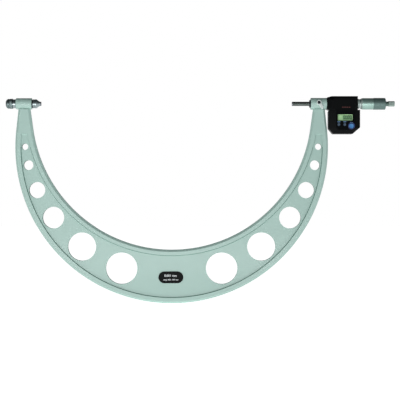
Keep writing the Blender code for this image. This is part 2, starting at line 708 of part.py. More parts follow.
def build_buttons():
    for name, x, z, radius in BUTTONS:
        flange_front, flange_back = BUTTON_FLANGE_Y
        finish = "blue_button" if name == "zero_button" else "grey_button"
        button = turned(name, [
            (-BUTTON_FRONT_Y, 0.0), (-BUTTON_FRONT_Y, radius - 0.4),
            (-BUTTON_FRONT_Y - 0.4, radius), (-flange_front, radius),
            (-flange_front, radius + 0.8), (-flange_back, radius + 0.8), (-flange_back, 0.0)],
            finish, steps=24, position=(x, 0.0, z), rotation=TO_FRONT)
        group(f"{name}_axis", (x, 0.0, z), (button,))
    name, x, z, radius = BUTTONS[-1]
    tube("zero_button_guard", radius + 0.5, GUARD_R, 16.6, 17.0, "navy_ring",
         position=(x, 0.0, z), rotation=TO_FRONT)


def build_battery():
    x, z = BATTERY_XZ
    where = {"position": (x, 0.0, z), "rotation": TO_REAR}
    turned("battery_holder", [(8.8, BATTERY_R + GAP), (8.8, 7.2), (-1.0, 7.2), (-1.0, 0.0),
                              (0.4, 0.0), (0.4, BATTERY_R + GAP)], "black_plastic", **where)
    rod("battery_contact", 4.6, 0.8, 1.2, "brass", steps=20, **where)
    rod("battery", BATTERY_R, 1.8, 7.2, "bright_steel", chamfer=0.4, **where)
    cap = turned("battery_cap", [(14.2, 0.0), (14.2, 7.6), (13.8, BATTERY_CAP_R),
                                 (12.0, BATTERY_CAP_R), (12.0, 6.9), (9.2, 6.9), (9.2, 0.0)],
                 "black_plastic", **where)
    cut(cap, box("coin_slot", (x - 6.0, 13.2, z - 0.7), (x + 6.0, 15.0, z + 0.7),
                 "black_plastic"))
    group("battery_cap_axis", (x, 12.0, z), (cap,))
    turned("battery_cap_seal", [(10.9, 7.25), (10.9, 7.95), (10.2, 7.95), (10.2, 7.25)],
           "seal", **where)


def build_port():
    port_x = sum(PORT_X) / 2
    port_z = sum(PORT_Z) / 2
    cover = box("port_cover", (PORT_X[0], REAR_Y + GAP, PORT_Z[0]),
                (PORT_X[1], REAR_Y + 1.6, PORT_Z[1]), "black_plastic", bevel=0.4)
    box("port_connector", (port_x - 5.0, 6.5, port_z - 2.0),
        (port_x + 5.0, REAR_Y - 0.4, port_z + 2.0), "grey_button")
    for index, x in enumerate(port_screw_places()):
        cut(cover, across("port_screw_pass", PORT_SCREW_R + GAP, (x, port_z), 0.0, THROUGH,
                          steps=12))
        rod(f"port_screw_{index + 1}", PORT_SCREW_R, 11.2, 15.3, "dark_steel", steps=12,
            position=(x, 0.0, port_z), rotation=TO_REAR)


def build():
    build_frame()
    build_label()
    build_anvil_side()
    build_clamp()
    build_fixed_head()
    build_rotor()
    tip, spindle, thimble = build_spindle()
    ratchet_pieces = build_ratchet()
    group("spindle_axis", (MEASURED, 0.0, 0.0), (tip, spindle, thimble, *ratchet_pieces))
    build_front_cover()
    build_rear_cover()
    build_cover_screws()
    build_seal()
    build_display()
    build_buttons()
    build_battery()
    build_port()


clear_scene()
PARTS = new_collection("outside_micrometer")
CUTTERS = new_collection("cutters")
PLANNED_BOOLEANS = []
build()
add_booleans()
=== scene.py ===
"""Looks of the digital outside micrometer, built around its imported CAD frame.

Lengths are in millimetres in the shape functions, which turn them into Blender's metres.
The display faces -Y, the measuring axis is X, and the arch hangs towards -Z.
"""
import json
import math

import bmesh
import bpy
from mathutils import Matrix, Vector


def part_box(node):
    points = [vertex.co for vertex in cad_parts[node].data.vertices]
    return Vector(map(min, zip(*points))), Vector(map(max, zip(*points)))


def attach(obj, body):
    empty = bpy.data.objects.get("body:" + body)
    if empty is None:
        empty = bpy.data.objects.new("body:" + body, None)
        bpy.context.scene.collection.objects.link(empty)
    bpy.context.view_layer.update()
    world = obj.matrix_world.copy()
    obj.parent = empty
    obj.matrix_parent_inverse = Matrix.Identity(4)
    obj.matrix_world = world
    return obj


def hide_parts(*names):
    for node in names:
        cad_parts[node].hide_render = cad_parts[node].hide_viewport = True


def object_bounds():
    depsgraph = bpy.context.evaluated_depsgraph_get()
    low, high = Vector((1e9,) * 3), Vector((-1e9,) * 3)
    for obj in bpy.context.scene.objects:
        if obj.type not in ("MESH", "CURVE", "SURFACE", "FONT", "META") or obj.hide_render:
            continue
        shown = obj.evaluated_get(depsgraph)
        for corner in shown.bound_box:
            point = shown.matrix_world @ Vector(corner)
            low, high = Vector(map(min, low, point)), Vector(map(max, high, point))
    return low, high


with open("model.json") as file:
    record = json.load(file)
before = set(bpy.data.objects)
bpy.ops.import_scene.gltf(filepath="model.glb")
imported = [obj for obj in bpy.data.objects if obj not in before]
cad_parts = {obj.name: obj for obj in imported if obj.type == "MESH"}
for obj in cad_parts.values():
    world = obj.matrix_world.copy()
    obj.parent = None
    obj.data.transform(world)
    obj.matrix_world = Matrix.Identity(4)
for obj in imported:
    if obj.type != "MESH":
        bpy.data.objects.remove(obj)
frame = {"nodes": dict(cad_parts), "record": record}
cad_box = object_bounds()
MM = 0.001

# Frame casting
ARCH_X = 247.3             # the arch is symmetric about this X
# Each arc's radius, the height of its centre, and where the legs leave it, in degrees
INNER_R, INNER_Z, INNER_LEAVE = 265.2, -11.2, -8.0
OUTER_R, OUTER_Z, OUTER_LEAVE = 295.6, -82.0, 6.0
ARC_STEPS = 150
LEG_TOP_Z = -7.0
FRAME_HALF = 8.0           # half of the frame's thickness
FLANK = 3.8                # bevel along both edges of the arch
RIM = 10.5                 # width of the raised rim around the web
WEB_HALF = 4.8
POCKET_TOP_Z = -57.0
POCKET_FILLET = 1.8
# Lightening holes on each side: degrees from the bottom of the arch, radius
HOLES = ((17.5, 29.8), (33.2, 26.7), (47.6, 20.5), (59.1, 15.4), (68.8, 9.3), (75.8, 6.1))
HOLE_OUTWARD = 1.0         # holes sit this much outside the middle of the rib
LEFT_BOSS, LEFT_BOSS_R = (-47.2, -17.4), 10.6
RIGHT_BOSS, RIGHT_BOSS_R = (510.4, 540.4), 11.1
LEFT_BORE_R, RIGHT_BORE_R = 6.0, 7.0
BOSS_CHAMFER = 0.5

# Spindle and its clamp
CLAMP_X, CLAMP_Z = 525.2, 1.8
CLAMP_HOLE_R = 3.0
LEVER_ANGLE = -60.0        # from +X towards +Z, in degrees
KEY_X, TRAVEL = 556.8, 25.0

# Digital unit: (X, Z) corners of the housing, its raised face and the printed panel
HOUSING = ((540.8, 11.4), (549.6, 13.8), (598.8, 13.8), (598.8, -12.0), (603.0, -12.0),
           (603.0, -45.2), (589.0, -57.3), (552.0, -57.3), (543.6, -47.4), (543.6, -14.4),
           (545.6, -12.6), (540.8, -10.8))
FACE = ((549.4, 6.0), (555.0, 9.6), (593.3, 9.6), (593.3, -12.4), (593.9, -12.8),
        (593.9, -46.4), (587.6, -50.8), (561.0, -50.8), (556.6, -46.4), (556.6, -14.6),
        (555.2, -13.0), (549.4, -9.0))
PANEL = ((557.4, -14.0), (592.8, -14.0), (592.8, -45.8), (586.9, -49.7), (561.4, -49.7),
         (557.4, -45.9))
WALL = 2.0
SEAM = 0.15                # half of the gap between the two covers
PLAY = 0.3                 # around the window and the buttons
SHOULDER_Y, FACE_Y = -9.4, -15.5
REAR_SHOULDER_Y, REAR_Y, REAR_INSET = 10.2, 13.5, 2.6
READING = "0.000"

# Stage, in metres and watts
CAMERA_PLACE = (0.3009, -2.1, -0.1822)
VIEW_WIDTH = 0.758         # across the picture, at the measuring axis
FLOOR_SIZE, FLOOR_X, FLOOR_DROP = 12.0, 0.3, 0.0005
FLOOR_GLOW = 0.95
# Reflected surroundings: the height, from 0 straight down to 1 straight up, and the colour
SKY_LOW = (0.46, (0.54, 0.55, 0.56, 1))
SKY_HIGH = (0.8, (0.1, 0.11, 0.11, 1))
# Each light's name, place, target, size and power
LIGHTS = (("key", (-0.15, -1.3, 0.0), (0.05, 0.0, -0.12), (1.2, 0.5), 1.3),
          ("low", (0.1, -0.9, -0.345), (0.15, 0.0, 0.0), (1.3, 0.1), 3.9))


def box_mm(node):
    """Lowest and highest corners of a CAD node, in millimetres."""
    low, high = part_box(node)
    return [value / MM for value in low], [value / MM for value in high]


def centre_mm(node):
    """Centre of a CAD node's box, in millimetres."""
    low, high = box_mm(node)
    return [(a + b) / 2 for a, b in zip(low, high)]


# ---------------------------------------------------------------- materials

def linear(red, green, blue):
    """A colour given as display values from 0 to 255, in Blender's linear values."""
    def channel(value):
        """One channel, by the sRGB curve."""
        value /= 255
        return value / 12.92 if value <= 0.04045 else ((value + 0.055) / 1.055) ** 2.4
    return channel(red), channel(green), channel(blue)


def surface(name, color, roughness, metallic=0.0, *, grain, vary, stretch=(1, 1, 1),
            rough_vary=0.05, bump=0.1, bump_height=0.02, cells=False, coat=0.0, specular=0.5):
    """A material whose colour, roughness and relief all vary with a fine grain."""
    material = bpy.data.materials.new(name)
    material.use_nodes = True
    nodes = material.node_tree.nodes
    link = material.node_tree.links.new
    shader = nodes["Principled BSDF"]
    shader.inputs["Metallic"].default_value = metallic
    shader.inputs["Coat Weight"].default_value = coat
    shader.inputs["Coat Roughness"].default_value = 0.12
    shader.inputs["Specular IOR Level"].default_value = specular

    where = nodes.new("ShaderNodeTexCoord")
    mapping = nodes.new("ShaderNodeMapping")
    mapping.inputs["Scale"].default_value = stretch
    link(where.outputs["Object"], mapping.inputs["Vector"])
    fine = nodes.new("ShaderNodeTexNoise")
    fine.inputs["Scale"].default_value = grain
    fine.inputs["Detail"].default_value = 3.0
    link(mapping.outputs["Vector"], fine.inputs["Vector"])
    broad = nodes.new("ShaderNodeTexNoise")
    broad.inputs["Scale"].default_value = grain / 14
    broad.inputs["Detail"].default_value = 4.0
    link(mapping.outputs["Vector"], broad.inputs["Vector"])

    tint = nodes.new("ShaderNodeMix")
    tint.data_type = "RGBA"
    tint.inputs[6].default_value = (*[c * (1 - vary) for c in color], 1)
    tint.inputs[7].default_value = (*[min(1.0, c * (1 + vary)) for c in color], 1)
    link(broad.outputs["Fac"], tint.inputs[0])
    link(tint.outputs[2], shader.inputs["Base Color"])

    spread = nodes.new("ShaderNodeMapRange")
    spread.inputs["To Min"].default_value = max(0.02, roughness - rough_vary)
    spread.inputs["To Max"].default_value = min(1.0, roughness + rough_vary)
    link(fine.outputs["Fac"], spread.inputs["Value"])
    link(spread.outputs["Result"], shader.inputs["Roughness"])

    relief = nodes.new("ShaderNodeBump")
    relief.inputs["Strength"].default_value = bump
    relief.inputs["Distance"].default_value = bump_height * MM
    height = fine.outputs["Fac"]
    if cells:
        dimples = nodes.new("ShaderNodeTexVoronoi")
        dimples.feature = "SMOOTH_F1"
        dimples.inputs["Scale"].default_value = grain
        link(mapping.outputs["Vector"], dimples.inputs["Vector"])
        height = dimples.outputs["Distance"]
    link(height, relief.inputs["Height"])
    link(relief.outputs["Normal"], shader.inputs["Normal"])
    return material


def make_materials():
    """One material for each slot of the record, and more for single pieces and print."""
    turned = (9, 0.6, 0.6)     # squeezes the grain into fine rings about the X axis
    return {
        "hammertone": surface("enamel", linear(158, 186, 178), 0.42, grain=420, cells=True,
                              vary=0.05, bump=0.16, bump_height=0.05, coat=0.08),
        "satin_chrome": surface("satin_chrome", linear(196, 208, 206), 0.27, 1.0, grain=900,
                                stretch=turned, vary=0.08, bump=0.12),
        "bright_steel": surface("bright_steel", linear(200, 206, 208), 0.16, 1.0, grain=1100,
                                stretch=turned, vary=0.06, bump=0.08),
        "dark_steel": surface("dark_steel", linear(52, 58, 62), 0.36, 1.0, grain=900, vary=0.2),
        "carbide": surface("carbide", linear(120, 124, 130), 0.18, 1.0, grain=1500, vary=0.1,
                           bump=0.04),
        # Lighter and half matte beside the other chrome: painted light that keeps the lever bright
        "lever_chrome": surface("lever_chrome", linear(206, 216, 213), 0.36, 0.5, grain=900,
                                vary=0.06, bump=0.08),
        "brass": surface("brass", linear(196, 160, 92), 0.3, 1.0, grain=900, vary=0.12),
        # Darker enamel for the walls of the holes and the pocket: painted shade in these recesses
        "recess_painted_shade": surface("recess_painted_shade", linear(100, 134, 124), 0.5, grain=420, vary=0.08,
                               bump=0.15, specular=0.2),
        "anvil_steel": surface("anvil_steel", linear(150, 162, 164), 0.2, 1.0, grain=1100,
                               stretch=turned, vary=0.08, bump=0.08),
        "nut_steel": surface("nut_steel", linear(112, 126, 126), 0.32, 1.0, grain=1100,
                             vary=0.12, bump=0.1),
        "thimble_chrome": surface("thimble_chrome", linear(100, 122, 118), 0.5, 0.7,
                                  grain=900, stretch=turned, vary=0.08, bump=0.1),
        # Another tone of the same chrome, for the thimble's bevel and the sleeve's flange; on the
        # flange it is painted shade, darker than the rest of the sleeve
        "bevel_chrome": surface("bevel_chrome", linear(150, 166, 162), 0.5, 0.4, grain=900,
                                stretch=turned, vary=0.08, bump=0.1),
        "knurl_chrome": surface("knurl_chrome", linear(154, 182, 174), 0.34, 0.85, grain=1200,
                                vary=0.1, bump=0.1),
        "neck_steel": surface("neck_steel", linear(92, 116, 108), 0.45, 0.6, grain=900,
                              vary=0.15),
        "knob_chrome": surface("knob_chrome", linear(150, 166, 160), 0.5, 0.7, grain=900,
                               vary=0.1, bump=0.1),
        # Darker than the other steel: painted shade standing in for the spindle's dark reflections
        "spindle_steel": surface("spindle_steel", linear(80, 87, 84), 0.24, 1.0, grain=1100,
                                 stretch=turned, vary=0.1, bump=0.08),
        "black_plastic": surface("black_plastic", linear(7, 9, 10), 0.4, grain=1800,
                                 vary=0.25, bump=0.3, bump_height=0.03, cells=True,
                                 specular=0.06),
        # The rear shell and its fittings are lighter copies of the black plastic: painted light,
        # so the rear's details show
        "rear_plastic": surface("rear_plastic", linear(26, 29, 31), 0.45, grain=1800,
                                vary=0.25, bump=0.3, bump_height=0.03, cells=True,
                                specular=0.3),
        "rear_fittings": surface("rear_fittings", linear(46, 50, 53), 0.4, grain=1500,
                                 vary=0.2, bump=0.15, specular=0.35),
        "black_label": surface("black_label", linear(5, 7, 8), 0.3, grain=1300, vary=0.2,
                               bump=0.05, specular=0.05),
        "grey_button": surface("grey_button", linear(52, 72, 92), 0.45, grain=1500, vary=0.15,
                               bump=0.2),
        "blue_button": surface("blue_button", linear(54, 118, 176), 0.42, grain=1400, vary=0.1,
                               bump=0.2),
        "navy_ring": surface("navy_ring", linear(18, 40, 96), 0.4, grain=1300, vary=0.12,
                             bump=0.06),
        "lcd": surface("lcd", linear(188, 238, 174), 0.3, grain=700, vary=0.05, bump=0.02),
        "lcd_shade": surface("lcd_shade", linear(134, 186, 134), 0.3, grain=700, vary=0.05,
                             bump=0.02),
        "board": surface("board", linear(26, 96, 52), 0.45, grain=700, vary=0.2, bump=0.15),
        "seal": surface("seal", linear(20, 20, 20), 0.75, grain=1200, vary=0.2, bump=0.3),
        "digit_ink": surface("digit_ink", linear(30, 62, 40), 0.4, grain=900, vary=0.1),
        "white_ink": surface("white_ink", linear(226, 230, 232), 0.45, grain=900, vary=0.05),
        "black_ink": surface("black_ink", linear(24, 28, 30), 0.5, grain=900, vary=0.2),
        "blue_ink": surface("blue_ink", linear(112, 150, 190), 0.5, grain=900, vary=0.1),
        "red_ink": surface("red_ink", linear(78, 26, 24), 0.5, grain=900, vary=0.15),
        "clear_window": window_material(),
    }


def window_material():
    """Thin clear plastic: mostly see-through, with a gloss."""
    material = surface("clear_window", linear(40, 48, 44), 0.1, grain=500, vary=0.03,
                       rough_vary=0.02, bump=0.02)
    material.node_tree.nodes["Principled BSDF"].inputs["Alpha"].default_value = 0.1
    return material


# ---------------------------------------------------------------- shape builders

def to_object(name, work, slot, smooth=35.0, merge=0.002):
    """Make an object from a bmesh, smooth up to an angle; merge joins points that meet."""
    bmesh.ops.remove_doubles(work, verts=work.verts, dist=merge * MM)
    bmesh.ops.recalc_face_normals(work, faces=work.faces)
    mesh = bpy.data.meshes.new(name)
    work.to_mesh(mesh)
    work.free()
    mesh.shade_smooth()
    mesh.set_sharp_from_angle(angle=math.radians(smooth))
    obj = bpy.data.objects.new(name, mesh)
    bpy.context.scene.collection.objects.link(obj)
    obj.data.materials.append(MATERIALS[slot])
    return obj


def put(obj, body, slot, *nodes):
    """Let a piece ride on a body and stand for CAD nodes; the slot is not used."""
    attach(obj, body)
    if nodes:
        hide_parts(*nodes)


def soften(profile, radius, segments=3):
    """Round the corners of a turned profile, except the points that lie on the axis."""
    count = len(profile)
    closed = all(r > 0 for _, r in profile)
    rounded = []
    for i, point in enumerate(profile):
        here = Vector(point)
        end = not closed and i in (0, count - 1)
        before = Vector(profile[i - 1]) - here
        after = Vector(profile[(i + 1) % count]) - here
        size = min(radius, before.length * 0.45, after.length * 0.45)
        if end or size < 0.02 or before.angle(after) > math.radians(172):
            rounded.append(tuple(here))
            continue
        first = here + before.normalized() * size
        last = here + after.normalized() * size
        for k in range(segments + 1):
            t = k / segments
            rounded.append(tuple(first * (1 - t) ** 2 + here * 2 * t * (1 - t) + last * t ** 2))
    return rounded


AXES = {
    "X": lambda c, h, a, b: (h + c[0], a + c[1], b + c[2]),
    "front": lambda c, h, a, b: (a + c[0], c[1] - h, b + c[2]),
    "rear": lambda c, h, a, b: (a + c[0], c[1] + h, b + c[2]),
}


def lathe(name, profile, slot, axis="X", centre=(0, 0, 0), steps=64, relief=None):
    """Turn a profile of (height, radius) points about an axis; relief changes the radius."""
    closed = all(r > 0 for _, r in profile)
    work = bmesh.new()
    rings = []
    for h, r in profile:
        if r == 0:
            rings.append([work.verts.new([v * MM for v in AXES[axis](centre, h, 0, 0)])])
            continue
        ring = []
        for k in range(steps):
            angle = 2 * math.pi * k / steps
            size = r + (relief(h, angle) if relief else 0.0)
            spot = AXES[axis](centre, h, size * math.cos(angle), size * math.sin(angle))
            ring.append(work.verts.new([v * MM for v in spot]))
        rings.append(ring)
    pairs = list(zip(rings, rings[1:]))
    if closed:
        pairs.append((rings[-1], rings[0]))
    for one, two in pairs:
        for k in range(steps):
            j = (k + 1) % steps
            if len(one) == 1:
                work.faces.new((one[0], two[k], two[j]))
            elif len(two) == 1:
                work.faces.new((one[k], two[0], one[j]))
            else:
                work.faces.new((one[k], two[k], two[j], one[j]))
    return to_object(name, work, slot)


def prism(name, outline, y_front, y_back, slot, bevel=0.0, segments=3, angle=30.0):
    """A flat piece from its outline of (X, Z) points, with rounded edges."""
    work = bmesh.new()
    corners = [work.verts.new((x * MM, y_front * MM, z * MM)) for x, z in outline]
    face = work.faces.new(corners)
    grown = bmesh.ops.extrude_face_region(work, geom=[face])
    moved = [item for item in grown["geom"] if isinstance(item, bmesh.types.BMVert)]
    bmesh.ops.translate(work, verts=moved, vec=(0, (y_back - y_front) * MM, 0))
    obj = to_object(name, work, slot)
    add_bevel(obj, bevel, segments, angle)
    return obj


def brick(name, low, high, slot, bevel=0.0):
    """A box between two opposite corners."""
    outline = ((low[0], low[2]), (high[0], low[2]), (high[0], high[2]), (low[0], high[2]))
    return prism(name, outline, low[1], high[1], slot, bevel)


def loft(name, sections, slot, bevel=0.0):
    """A solid through outlines with the same number of points: (Y, outline) pairs."""
    work = bmesh.new()
    rings = [[work.verts.new((x * MM, y * MM, z * MM)) for x, z in outline]
             for y, outline in sections]
    for lower, upper in zip(rings, rings[1:]):
        for i in range(len(lower)):
            j = (i + 1) % len(lower)
            work.faces.new((lower[i], lower[j], upper[j], upper[i]))
    work.faces.new(rings[0])
    work.faces.new(rings[-1])
    obj = to_object(name, work, slot, smooth=30.0)
    add_bevel(obj, bevel, 3, 20.0)
    return obj


def add_bevel(obj, width, segments, angle):
    """Round the edges that are sharper than an angle."""
    if width > 0.0:
        bevel = obj.modifiers.new("bevel", "BEVEL")
        bevel.width = width * MM
        bevel.segments = segments
        bevel.limit_method = "ANGLE"
        bevel.angle_limit = math.radians(angle)
        bevel.harden_normals = False


def evaluated(obj):
    """Replace an object's mesh with what its modifiers make of it."""
    bpy.context.view_layer.update()
    depsgraph = bpy.context.evaluated_depsgraph_get()
    mesh = bpy.data.meshes.new_from_object(obj.evaluated_get(depsgraph))
    obj.modifiers.clear()
    obj.data = mesh
    return obj


def combine(target, others, operation):
    """Cut the target with other shapes, or join them to it, and remove those shapes."""
    helpers = bpy.data.collections.new("helpers")
    bpy.context.scene.collection.children.link(helpers)
    for other in others:
        bpy.context.scene.collection.objects.unlink(other)
        helpers.objects.link(other)
    modifier = target.modifiers.new("combine", "BOOLEAN")
    modifier.operation = operation
    modifier.solver = "EXACT"
    modifier.operand_type = "COLLECTION"
    modifier.collection = helpers
    evaluated(target)
    for other in others:
        bpy.data.objects.remove(other, do_unlink=True)
    bpy.data.collections.remove(helpers)


def finish_edges(obj, width, segments=2):
    """Round every edge left by the cuts, and keep flat faces flat."""
    add_bevel(obj, width, segments, 32.0)
    evaluated(obj)
    obj.data.shade_smooth()
    obj.data.set_sharp_from_angle(angle=math.radians(35.0))
    normals = obj.modifiers.new("normals", "WEIGHTED_NORMAL")
    normals.keep_sharp = True


def cylinder(radius, x, z, y_from, y_to, steps=48):
    """A round cutter along Y."""
    return lathe("cutter", [(y_to, 0), (y_to, radius), (y_from, radius), (y_from, 0)],
                 "black_ink", axis="rear", centre=(x, 0, z), steps=steps)


def bore(radius, x_from, x_to):
    """A round cutter along the measuring axis."""
    return lathe("cutter", [(x_to, 0), (x_to, radius), (x_from, radius), (x_from, 0)],
                 "black_ink")


def flat_marks(name, quads, slot):
    """Marks with a front and a back but no thickness, one for each four corners, as one piece."""
    work = bmesh.new()
    for quad in quads:
        work.faces.new([work.verts.new([v * MM for v in corner]) for corner in quad])
    bmesh.ops.solidify(work, geom=work.faces[:], thickness=0.0)
    return to_object(name, work, slot, merge=0.0)


# ---------------------------------------------------------------- outlines

def arc(centre_x, centre_z, radius, start, end, steps):
    """Points along an arc, between two angles in degrees."""
    points = []
    for i in range(steps + 1):
        angle = math.radians(start + (end - start) * i / steps)
        points.append((centre_x + radius * math.cos(angle), centre_z + radius * math.sin(angle)))
    return points


def leg_top(radius, centre_z, leave):
    """Where a leg's straight side, tangent to its arc, reaches the top: distance from ARCH_X."""
    angle = math.radians(leave)
    rise = LEG_TOP_Z - centre_z - radius * math.sin(angle)
    return radius * math.cos(angle) - rise * math.tan(angle)


def arch_outline():
    """The frame's arch: two arcs that aren't concentric, joined by straight legs."""
    outer = arc(ARCH_X, OUTER_Z, OUTER_R, 180 - OUTER_LEAVE, 360 + OUTER_LEAVE, ARC_STEPS)
    inner = arc(ARCH_X, INNER_Z, INNER_R, 360 + INNER_LEAVE, 180 - INNER_LEAVE, ARC_STEPS)
    tops = [(ARCH_X + leg_top(OUTER_R, OUTER_Z, OUTER_LEAVE), LEG_TOP_Z),
            (ARCH_X + leg_top(INNER_R, INNER_Z, INNER_LEAVE), LEG_TOP_Z)]
    mirrored = [(2 * ARCH_X - x, z) for x, z in reversed(tops)]
    return outer + tops + inner + mirrored


def pocket_outline():
    """The sunk web between the rims, up to the solid part of each leg."""
    outer_r, inner_r = OUTER_R - RIM, INNER_R + RIM
    outer_end = math.degrees(math.asin((POCKET_TOP_Z - OUTER_Z) / outer_r))
    inner_end = math.degrees(math.asin((POCKET_TOP_Z - INNER_Z) / inner_r))
    outer = arc(ARCH_X, OUTER_Z, outer_r, 180 - outer_end, 360 + outer_end, ARC_STEPS)
    inner = arc(ARCH_X, INNER_Z, inner_r, 360 + inner_end, 180 - inner_end, ARC_STEPS)
    return outer + inner


def hole_places():
    """Centre (X, Z) and radius of each lightening hole, on both sides of the arch."""
    drop = INNER_Z - OUTER_Z
    places = []
    for degrees, radius in HOLES:
        angle = math.radians(degrees)
        far = drop * math.cos(angle) + math.sqrt(OUTER_R ** 2 - (drop * math.sin(angle)) ** 2)
        reach = (INNER_R + far) / 2 + HOLE_OUTWARD
        for side in (-1, 1):
            places.append((ARCH_X + side * reach * math.sin(angle),
                           INNER_Z - reach * math.cos(angle), radius))
    return places


def stadium(centre_x, centre_z, length, width):
    """A bar with round ends, lying along X."""
    reach = (length - width) / 2
    right = arc(centre_x + reach, centre_z, width / 2, -90, 90, 24)
    left = arc(centre_x - reach, centre_z, width / 2, 90, 270, 24)
    return right + left


def inset(outline, distance):
    """Move every side of a clockwise outline inwards, and meet the neighbours again."""
    count = len(outline)
    lines = []
    for i in range(count):
        start = Vector(outline[i])
        side = (Vector(outline[(i + 1) % count]) - start).normalized()
        lines.append((start + Vector((side.y, -side.x)) * distance, side))
    points = []
    for i in range(count):
        (before, side_a), (after, side_b) = lines[i - 1], lines[i]
        cross = side_a.x * side_b.y - side_a.y * side_b.x
        delta = after - before
        step = (delta.x * side_b.y - delta.y * side_b.x) / cross
        points.append(tuple(before + side_a * step))
    return points


# ---------------------------------------------------------------- frame and label

def paint_recess_shade(casting):
    """The walls of the lightening holes and of the web's pocket get a darker enamel: painted shade
    in these recesses.
    """
    casting.data.materials.append(MATERIALS["recess_painted_shade"])
    edge = RIM - 2.5           # the painted shade reaches a little onto the rim's corner
    hole_margin, shade_top_z, flat = 0.6, -80.0, 0.9
    for face in casting.data.polygons:
        x, _, z = face.center / MM
        in_hole = any(math.hypot(x - hole_x, z - hole_z) < radius + hole_margin
                      for hole_x, hole_z, radius in hole_places())
        in_pocket = (z < shade_top_z and math.hypot(x - ARCH_X, z - OUTER_Z) < OUTER_R - edge
                     and math.hypot(x - ARCH_X, z - INNER_Z) > INNER_R + edge)
        if abs(face.normal.y) < flat and (in_hole or in_pocket):
            face.material_index = 1


def make_frame():
    """The casting: arch, two bosses, sunk webs, lightening holes and bores."""
    casting = prism("frame_casting", arch_outline(), -FRAME_HALF, FRAME_HALF, "hammertone")
    add_bevel(casting, FLANK, 1, 40.0)
    evaluated(casting)
    cut = BOSS_CHAMFER
    bosses = [lathe("boss", [(b, 0), (b, r - cut), (b - cut, r), (a + cut, r), (a, r - cut),
                             (a, 0)], "hammertone", steps=72)
              for (a, b), r in ((LEFT_BOSS, LEFT_BOSS_R), (RIGHT_BOSS, RIGHT_BOSS_R))]
    combine(casting, bosses, "UNION")
    cutters = []
    for side in (-1, 1):
        near, far = sorted((side * WEB_HALF, side * (FRAME_HALF + 5)))
        pocket = prism("pocket", pocket_outline(), near, far, "hammertone", POCKET_FILLET, 4,
                       50.0)
        cutters.append(evaluated(pocket))
    for x, z, radius in hole_places():
        cutters.append(cylinder(radius, x, z, -15, 15, steps=24 + 2 * int(radius)))
    cutters += [bore(LEFT_BORE_R, LEFT_BOSS[0] - 1, LEFT_BOSS[1] + 1),
                bore(RIGHT_BORE_R, RIGHT_BOSS[0] - 1, RIGHT_BOSS[1] + 1),
                cylinder(CLAMP_HOLE_R, CLAMP_X, CLAMP_Z, -20, 0)]
    combine(casting, cutters, "DIFFERENCE")
    finish_edges(casting, 0.45)
    # Painted shade on the walls of the holes and the pocket
    paint_recess_shade(casting)
    put(casting, "frame", "hammertone", "frame")


def write(name, words, size, x, y, z):
    """Raised white print on the label, which looks along -Y."""
    curve = bpy.data.curves.new(name, "FONT")
    curve.body = words
    curve.size = size * MM
    curve.align_x = "CENTER"
    curve.align_y = "CENTER"
    curve.extrude = 0.03 * MM
    curve.offset = 0.012 * size * MM
    obj = bpy.data.objects.new(name, curve)
    bpy.context.scene.collection.objects.link(obj)
    obj.location = (x * MM, y * MM, z * MM)
    obj.rotation_euler = (math.radians(90), 0, 0)
    curve.materials.append(MATERIALS["white_ink"])
    put(obj, "frame", "black_label")


def make_label():
    """The black label plate with its two printed lines."""
    low, high = box_mm("label_plate")
    x, y, z = centre_mm("label_plate")
    length, width = high[0] - low[0], high[2] - low[2]
    plate = prism("label_plate_face", stadium(x, z, length, width), low[1], high[1],
                  "black_label", 0.25)
    put(plate, "frame", "black_label", "label_plate")
    print_y = low[1] - 0.04
    write("label_resolution", "0.001 mm", 5.8, x - 0.6, print_y, z + 3.0)
    write("label_range", "range 400 - 500 mm", 3.5, x, print_y, z - 4.6)


# ---------------------------------------------------------------- anvil side

def make_anvil_side():
    """The anvil with its tip, its bush and seat, and the knurled lock nut behind it."""
    sleeve = lathe("anvil_sleeve_turned", soften(
        [(-17.9, 4.3), (-17.9, 5.7), (-47.5, 5.7), (-47.5, 8.4), (-53.2, 8.4), (-53.2, 4.3)],
        0.5), "anvil_steel")
    put(sleeve, "frame", "bright_steel", "anvil_sleeve")
    # The seat ring is dark steel: a dark ring standing in for the shadow in the gap between the
    # boss and the anvil's head
    seat = lathe("anvil_seat_turned", soften(
        [(-15.6, 4.3), (-15.6, 7.9), (-17.1, 7.9), (-17.1, 4.3)], 0.25), "dark_steel")
    put(seat, "frame", "dark_steel", "anvil_seat_ring")
    anvil = lathe("anvil_turned", soften(
        [(-1.6, 0), (-1.6, 4.0), (-2.4, 4.0), (-7.0, 7.0), (-8.4, 8.5), (-12.0, 8.5),
         (-12.4, 8.1), (-12.9, 8.1), (-13.3, 8.5), (-15.3, 8.5), (-15.3, 4.0), (-62.0, 4.0),
         (-62.0, 0)], 0.45), "anvil_steel")
    put(anvil, "anvil", "bright_steel", "anvil")
    tip = lathe("anvil_tip_lapped", soften([(0, 0), (0, 4.0), (-1.3, 4.0), (-1.3, 0)], 0.15),
                "carbide")
    put(tip, "anvil", "carbide", "anvil_tip")

    def grip(h, angle):
        """Grooves of the nut's knurled band."""
        if not -58.8 < h < -54.6:
            return 0.0
        return -0.35 * max(0.0, math.cos(24 * angle)) ** 2
    nut = lathe("anvil_lock_nut_turned", soften(
        [(-63.5, 0), (-63.5, 4.3), (-53.5, 4.3), (-53.5, 9.5),
         *[(-54.1 - 0.6 * i, 9.5) for i in range(9)], (-59.2, 8.7), (-60.0, 8.7),
         (-60.4, 9.4), (-62.8, 9.1), (-65.0, 7.7), (-66.4, 5.4), (-66.9, 2.8),
         (-66.9, 0)], 0.35, 2),
        "nut_steel", steps=144, relief=grip)
    put(nut, "anvil_nut", "bright_steel", "anvil_lock_nut")


# ---------------------------------------------------------------- spindle and clamp

